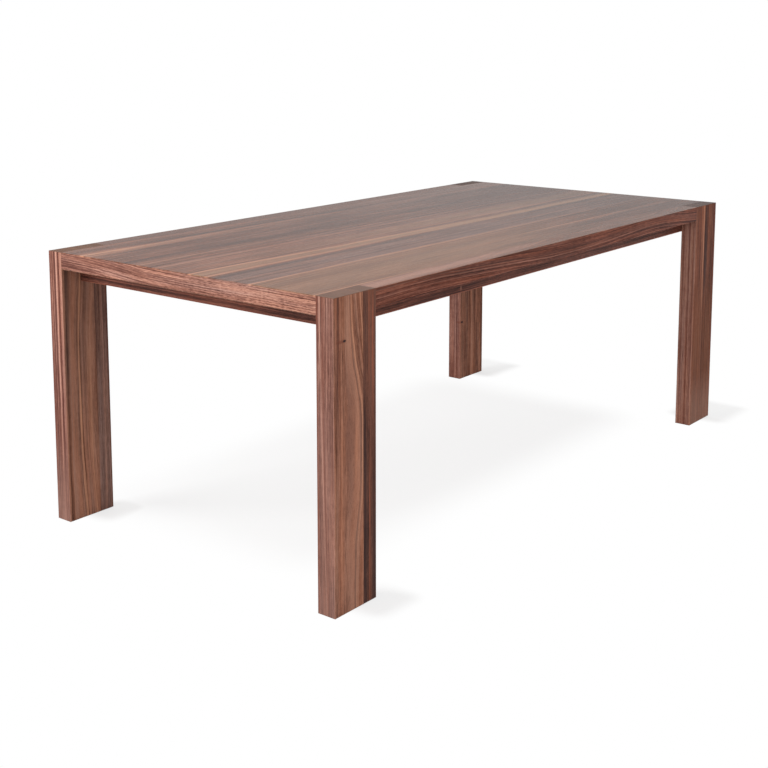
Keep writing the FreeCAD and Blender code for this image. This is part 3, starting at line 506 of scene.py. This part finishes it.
LEGS = [
    dict(node="leg_front_left", tones=WARM, heart=(-15, 70), seed=21,
         lift=[(-376, 0.19), (0, 0.21), (200, 0.16), (376, 0.1)],
         bend=[(-376, 3), (-276, 6), (-201, 9), (-136, 19), (-76, 25), (24, 26), (94, 25), (134, 19),
               (199, 5), (274, -8), (376, -19)],
         calm=(-45, 5), knot=(-38, 647, 5),
         streaks=[(PLUM, -20, 32,
                   [(-376, 0.1), (-150, 0.35), (60, 0.6), (170, 0.4), (260, 0.0), (376, 0.0)], "across"),
                  (SCAR, -60, 14, [(-376, 0.1), (100, 0.2), (200, 0.35), (376, 0.4)], "across"),
                  (INK, -7, 4, 0.4),
                  (SAPWOOD, 0, 3.0, [(-376, 0.3), (-100, 0.45), (60, 0.6), (376, 0.7)]),
                  (SAPWOOD, [(-376, 30), (200, 29), (290, 25), (376, 18)], 2.5,
                   [(-376, 0.0), (180, 0.0), (300, 0.6), (376, 0.7)], "across"),
                  (INK, [(-376, -66), (100, -63), (376, -60)], 4,
                   [(-376, 0.1), (100, 0.2), (250, 0.5), (376, 0.6)], "across")],
         edge=(PINK, [(-376, -0.11), (376, -0.11)]),
         edge_streaks=[(ROSE, [(-376, 0), (0, 9), (376, 16)], 3.0, [(-376, 0.3), (376, 0.6)]),
                       (SCAR, [(-376, -6), (0, 4), (376, 8)], 3.0, 0.6),
                       (SCAR, 24, 5, 0.8),
                       (ROSE, -24, 2.5, 0.3),
                       # Painted light from the white floor, strongest at the foot:
                       (FLOOR_BOUNCE_GREY, 0, 60, [(-376, 0.4), (0, 0.25), (376, 0.1)])],
         joint=28, stave=(DARK, [(-376, 0.06), (-150, 0.1), (0, 0.1), (120, 0.22), (376, 0.38)]),
         stave_streaks=[(INK, 36, 9, [(-376, 0.5), (0, 0.6), (160, 0.15), (376, 0.15)]),
                        (INK, 66, 9, [(-376, 0.6), (-60, 0.5), (100, 0.1), (376, 0.0)]),
                        (EMBER, 64, 6, [(-376, 0.0), (60, 0.1), (200, 0.55), (320, 0.6), (376, 0.2)]),
                        (EMBER, 51, 4,
                         [(-376, 0.4), (-120, 0.55), (60, 0.1), (200, 0.3), (320, 0.5), (376, 0.2)])]),
    dict(node="leg_back_left", tones=BROWN, heart=(-30, 80), seed=22, sheen=0.015,
         lift=[(-376, 0.1), (-200, 0.18), (150, 0.18), (376, 0.12)],
         bend=[(-376, -15), (-200, -24), (0, -28), (150, -28), (250, -20), (376, -15)],
         calm=(-72, -40),
         # The first streak darkens the wide faces' outer edge more and more towards the top: painted
         # shade under the top, laid as a dark streak along the grain.
         streaks=[(INK, [(-376, -80), (0, -72), (200, -62), (376, -58)], 11,
                   [(-376, 0.0), (0, 0.3), (376, 0.5)], "across"),
                  (SAPWOOD, 0, 5.5, 0.7),
                  (INK, 16, 10, [(-376, 0.05), (0, 0.15), (376, 0.4)]),
                  (SAPWOOD, [(-376, 34), (-100, 36), (376, 40)], 14,
                   [(-376, 0.1), (-50, 0.3), (60, 0.35), (200, 0.12), (376, 0.05)]),
                  (SAPWOOD, [(-376, 20), (-250, 11), (-50, 9), (60, 8)], 2.0,
                   [(-376, 0.6), (-100, 0.5), (60, 0.0), (376, 0.0)], "across")],
         edge=(PINK, [(-376, -0.22), (-250, -0.28), (0, -0.22), (200, -0.1), (376, 0.0)]),
         edge_streaks=[(SCAR, 24, 5, 0.7),
                       (SEAM, [(-376, 10), (376, 13)], 4.0,
                        [(-376, 0.1), (-250, 0.2), (0, 0.4), (376, 0.6)]),
                       (SEAM, [(-376, 2), (376, 4)], 4.0,
                        [(-376, 0.2), (-250, 0.4), (0, 0.7), (376, 0.8)]),
                       (ROSE, [(-376, -6), (376, -3)], 4.0, [(-376, 0.2), (0, 0.7), (376, 1.0)]),
                       (SEAM, -13, 5.0, [(-376, 0.2), (-250, 0.5), (0, 0.9), (376, 0.9)]),
                       (ROSE, -22, 3.5, [(-376, 0.1), (0, 0.4), (376, 0.7)]),
                       # Painted light from the white floor, strongest at the foot:
                       (FLOOR_BOUNCE_GREY, 0, 60, [(-376, 0.5), (-250, 0.3), (-120, 0.0), (376, 0.0)])],
         joint=31, stave=(MAUVE, [(-376, 0.0), (-150, 0.1), (100, -0.06), (376, -0.12)]),
         stave_streaks=[(SEAM, 71, 6, [(-376, 0.1), (-100, 0.3), (0, 0.6), (180, 0.6), (300, 0.3)]),
                        (ROSE, 56, 2.5,
                         [(-376, 0.0), (-60, 0.1), (50, 0.35), (150, 0.35), (250, 0.1), (376, 0.0)])]),
    dict(node="leg_front_right", tones=RUSSET, heart=(-60, 90), seed=23, end=DULL_END, sheen=0.13,
         lift=[(-376, 0.2), (-250, 0.1), (376, 0.22)],
         streaks=[(INK, -40, 5, 0.35),
                  (OLIVE, -40, 70,
                   [(-376, 0.0), (-240, 0.3), (-100, 0.45), (40, 0.3), (160, 0.0)], "across"),
                  (SAPWOOD, -14, 5, [(-376, 0.0), (0, 0.1), (80, 0.4), (376, 0.5)]),
                  # Painted light from the white floor over the lowest part of the wide faces:
                  (FLOOR_BOUNCE_TAN, -40, 120, [(-376, 0.6), (-300, 0.5), (-200, 0.0), (376, 0.0)], "across")],
         edge=(PINK, [(-376, 0.06), (376, 0.06)]),
         edge_streaks=[(SCAR, 16, 3.5, 0.6),
                       (SCAR, -3, 3.5, 0.7),
                       (ROSE, 3, 3.0, 0.4),
                       (SCAR, -18, 3.5, 0.4)],
         joint=-8, stave=(RUSSET, [(-376, 0.22), (-250, 0.1), (0, -0.04), (200, -0.12), (376, -0.06)]),
         stave_streaks=[(INK, 4, 14,
                         [(-376, 0.0), (40, 0.1), (110, 0.8), (220, 0.8), (300, 0.5), (376, 0.4)]),
                        (SEAM, 62, 16, [(-376, 0.0), (-100, 0.2), (100, 0.4), (376, 0.6)], "across"),
                        (OLIVE, 30, 70,
                         [(-376, 0.0), (-240, 0.3), (-100, 0.45), (40, 0.3), (160, 0.0)], "across"),
                        # Painted light from the white floor over the lowest part of the second stave:
                        (FLOOR_BOUNCE_TAN, 30, 120, [(-376, 0.6), (-300, 0.5), (-200, 0.0), (376, 0.0)], "across"),
                        (SCAR, 72, 6, 0.7)]),
    dict(node="leg_back_right", tones=WARM, heart=(30, 90), seed=24, end=DULL_END, sheen=0.02,
         lift=[(-376, 0.0), (376, -0.06)], knot=(-64, 224, 6), streaks=[],
         edge=(PINK, [(-376, -0.16), (376, -0.2)]), edge_streaks=[],
         joint=25, stave=(WARM, [(-376, 0.0), (376, -0.06)]), stave_streaks=[(SCAR, 74, 3, 0.6)]),
]


def rail_walnut(node, run, seed, fleck=None):
    """A rail of the frame, in darker and redder walnut, with painted light from the white floor along its
    lower edge.

    A fleck is a short pale tick across the grain, with its place along the rail and its height.
    """
    finish = Finish(node + "_walnut")
    grain = growth(finish, node, run, "z", (60, 45), seed, sway=2.0, band=4.0)
    wood = heartwood(finish, grain, RED, lift=-0.06)
    # Painted light from the white floor along the rail's lower edge, in EMBER.
    above = grain.across + grain.half_across
    arris_highlight = finish.step(above, 3.5, 1.0) * finish.step(above, 0.05, 0.4)
    wood = finish.mix(wood, EMBER, arris_highlight * 0.6)
    if fleck:
        place, height = fleck
        away = ((grain.along - place) ** 2 * 9 + (finish.place["z"] - height) ** 2) ** 0.5
        wood = finish.mix(wood, ROSE, finish.step(away, 8, 4) * 0.4)
    lacquer(finish, grain, wood)
    finish.lay_on(node)


RAILS = [
    dict(node="long_rail_front", run="x", seed=31, fleck=(-435, 677)),
    dict(node="long_rail_back", run="x", seed=32),
    dict(node="end_rail_left", run="y", seed=33),
    dict(node="end_rail_right", run="y", seed=34),
    dict(node="cross_rail_left", run="y", seed=35),
    dict(node="cross_rail_right", run="y", seed=36),
]


def backing_walnut():
    """The leaf under the panel: plain walnut, thinly lacquered."""
    finish = Finish("backing_walnut")
    grain = growth(finish, "backing_leaf", "x", "y", (120, -150), 41, sway=8.0, band=9.0)
    lacquer(finish, grain, heartwood(finish, grain, BROWN))
    finish.lay_on("backing_leaf")


def pressed_board():
    """The core: pale chips pressed together, lying flat."""
    finish = Finish("pressed_board")
    x, y, z = [finish.place[axis] for axis in "xyz"]
    chips = finish.noise(x / 4.0, y / 4.0, z / 0.8, detail=3.0, roughness=0.7)
    dust = finish.noise(x / 0.7, y / 0.7, z / 0.7)
    shade = chips * 0.8 + dust * 0.2
    wood = finish.ramp(shade, [(0.25, paint(128, 98, 66)), (0.5, paint(184, 152, 112)),
                               (0.75, paint(214, 186, 146))])
    finish.set(Base_Color=wood, Roughness=0.75 + dust * 0.2,
               Normal=finish.bump(shade, strength=0.5, depth=0.4))
    finish.lay_on("panel_core")


def beech(name, run, *nodes):
    """Planed beech: pale pink, with short brown flecks along the grain."""
    finish = Finish(name)
    across = [axis for axis in "xyz" if axis != run]
    along, left, up = [finish.place[axis] for axis in (run, *across)]
    place = (along, left, up)
    years = finish.bands((left + up * 0.6) / 3.0)
    fleck = finish.step(finish.grains(place, length=2.6, width=0.45, detail=1.0), 0.62, 0.72)
    fibre = finish.grains(place, length=30, width=0.6)
    shade = years * 0.7 + fibre * 0.3
    wood = finish.ramp(shade, [(0.3, paint(176, 130, 94)), (0.5, paint(204, 160, 122)),
                               (0.7, paint(220, 182, 146))])
    wood = finish.mix(wood, paint(132, 84, 56), fleck * 0.6)
    finish.set(Base_Color=wood, Roughness=0.55 + fibre * 0.2,
               Normal=finish.bump(fibre - fleck, strength=0.3, depth=0.1))
    finish.lay_on(*nodes)


def zinc_steel():
    """Bright zinc plate, clouded and lightly turned."""
    finish = Finish("zinc_steel")
    x, y, z = [finish.place[axis] for axis in "xyz"]
    cloud = finish.noise(x / 3, y / 3, z / 3, detail=3.0, roughness=0.6)
    turned = finish.noise(x / 9, y / 9, z / 0.25)
    plate = finish.ramp(cloud, [(0.3, paint(150, 152, 158)), (0.7, paint(206, 207, 210))])
    finish.set(Base_Color=plate, Roughness=0.26 + cloud * 0.2 + turned * 0.1, Metallic=1.0,
               Normal=finish.bump(turned, strength=0.2, depth=0.05))
    finish.lay_on("leg_bolts", "leg_bolt_washers", "leg_inserts", "long_rail_screws", "end_rail_screws",
                  "cross_rail_screws", "glide_nails")


def glide_plastic():
    """Moulded brown plastic with a fine grained face, scuffed pale where it slides."""
    finish = Finish("glide_plastic")
    x, y, z = [finish.place[axis] for axis in "xyz"]
    grained = finish.noise(x / 0.5, y / 0.5, z / 0.5)
    scuffs = finish.noise(x / 5, y / 0.6, z / 2, detail=3.0, roughness=0.6) * finish.step(z, 0.6, 0.1)
    colour = finish.mix(paint(44, 36, 33), paint(92, 82, 76), finish.step(scuffs, 0.45, 0.7))
    finish.set(Base_Color=colour, Roughness=0.5 + grained * 0.25,
               Normal=finish.bump(grained, strength=0.4, depth=0.08))
    finish.lay_on("glides_front_left", "glides_front_right", "glides_back_left", "glides_back_right")


# The faint shadow on the floor under the table. Its middle is the place across the table.
TABLE_SHADOW = SimpleNamespace(half_length=700, middle=135, half_width=285, fade=240, strength=0.85)

# Those beside the feet of the left legs and of the right legs. Their middle is the place along the table,
# and their shift is across it, from the two rows of feet.
FOOT_SHADOWS = [
    SimpleNamespace(half_length=45, middle=-855, half_width=32, shift=-42, strength=0.95),
    SimpleNamespace(half_length=80, middle=1060, half_width=65, shift=0, strength=1.2),
]
FOOT_FADE = 60
FOOT_ROW = 474

# How much of the real shadow shows at full strength.
SHADOW_SHARE = 0.28

FLOOR_REACH = 40.0
ROOM_GREY = (0.74, 0.74, 0.74, 1.0)


def beyond(finish, past_x, past_y):
    """The distance to a rectangle on the floor, from how far a place is past its sides."""
    out_x = finish.sum("MAXIMUM", past_x, 0.0)
    out_y = finish.sum("MAXIMUM", past_y, 0.0)
    return (out_x * out_x + out_y * out_y) ** 0.5


def floor_shadow(finish):
    """The strength of the shadow that the floor keeps."""
    x, y = finish.place["x"], finish.place["y"]
    table = TABLE_SHADOW
    past = beyond(finish, abs(x) - table.half_length, abs(y - table.middle) - table.half_width)
    shadow = finish.step(past, table.fade, 0) * table.strength
    for feet in FOOT_SHADOWS:
        across = abs(abs(y - feet.shift) - FOOT_ROW)
        past = beyond(finish, abs(x - feet.middle) - feet.half_length, across - feet.half_width)
        shadow = finish.sum("MAXIMUM", shadow, finish.step(past, FOOT_FADE, 0) * feet.strength)
    return shadow


def studio_floor():
    """A white floor that keeps a faint shadow under the table and at its feet, and is plain elsewhere."""
    shape = bmesh.new()
    bmesh.ops.create_grid(shape, x_segments=1, y_segments=1, size=FLOOR_REACH)
    mesh = bpy.data.meshes.new("studio_floor")
    shape.to_mesh(mesh)
    shape.free()
    floor = bpy.data.objects.new("studio_floor", mesh)
    bpy.context.scene.collection.objects.link(floor)
    finish = Finish("studio_white")
    finish.set(Base_Color=paint(240, 240, 240), Roughness=0.9, Specular_IOR_Level=0.0)
    white = finish.node("Emission", {}, {"Color": WHITE, "Strength": 1.0})[0]
    share = finish.seen() * (1.0 - floor_shadow(finish) * SHADOW_SHARE)
    lit = Value(finish, finish.shader.outputs[0])
    surface = finish.node("MixShader", {}, {0: share, 1: lit, 2: white})[0]
    finish.fill(finish.tree.nodes["Material Output"].inputs["Surface"], surface)
    mesh.materials.append(finish.material)


def studio_light():
    """Soft white light all round, in front of a white background."""
    world = bpy.data.worlds.new("studio")
    bpy.context.scene.world = world
    room = Nodes(world)
    colour = room.mix(ROOM_GREY, WHITE, room.seen())
    room.fill(room.tree.nodes["Background"].inputs["Color"], colour)


def softbox(name, place, aim, size, power):
    """A large soft lamp that faces a point."""
    lamp = bpy.data.lights.new(name, "AREA")
    lamp.size = size
    lamp.energy = power
    stand = bpy.data.objects.new(name, lamp)
    stand.location = place
    stand.rotation_euler = (Vector(aim) - Vector(place)).to_track_quat("-Z", "Y").to_euler()
    bpy.context.scene.collection.objects.link(stand)


def photograph_camera():
    """The photograph's own view, from beyond the near leg."""
    lens = bpy.data.cameras.new("camera")
    lens.sensor_width = 36.0
    lens.lens = 60.802
    lens.shift_y = -0.22
    turn, fall = math.radians(51.715), math.radians(8.293)
    level = math.cos(fall)
    forward = Vector((level * math.sin(turn), level * math.cos(turn), -math.sin(fall)))
    camera = bpy.data.objects.new("camera", lens)
    camera.location = (-3.1258, -2.3198, 1.3433)
    camera.rotation_euler = forward.to_track_quat("-Z", "Y").to_euler()
    bpy.context.scene.collection.objects.link(camera)
    bpy.context.scene.camera = camera


for dress, boards in [(top_leaf_walnut, TOP_LEAVES), (edge_strip_walnut, EDGE_STRIPS),
                      (end_band_walnut, END_BANDS), (leg_walnut, LEGS), (rail_walnut, RAILS)]:
    for board in boards:
        dress(**board)
backing_walnut()
pressed_board()
beech("beech_along", "x", "edge_spline_front", "edge_spline_back", "strip_dowels")
beech("beech_across", "y", "leg_dowels")
beech("beech_upright", "z", "corner_block_front_left", "corner_block_front_right",
      "corner_block_back_left", "corner_block_back_right")
zinc_steel()
glide_plastic()

studio_floor()
studio_light()
softbox("left_softbox", place=(-4.2, 2.6, 2.4), aim=(0, 0, 0.5), size=2.6, power=200)
softbox("front_softbox", place=(1.2, -4.6, 2.2), aim=(0, 0, 0.4), size=2.6, power=55)
photograph_camera()
bpy.context.scene.view_settings.view_transform = "Standard"
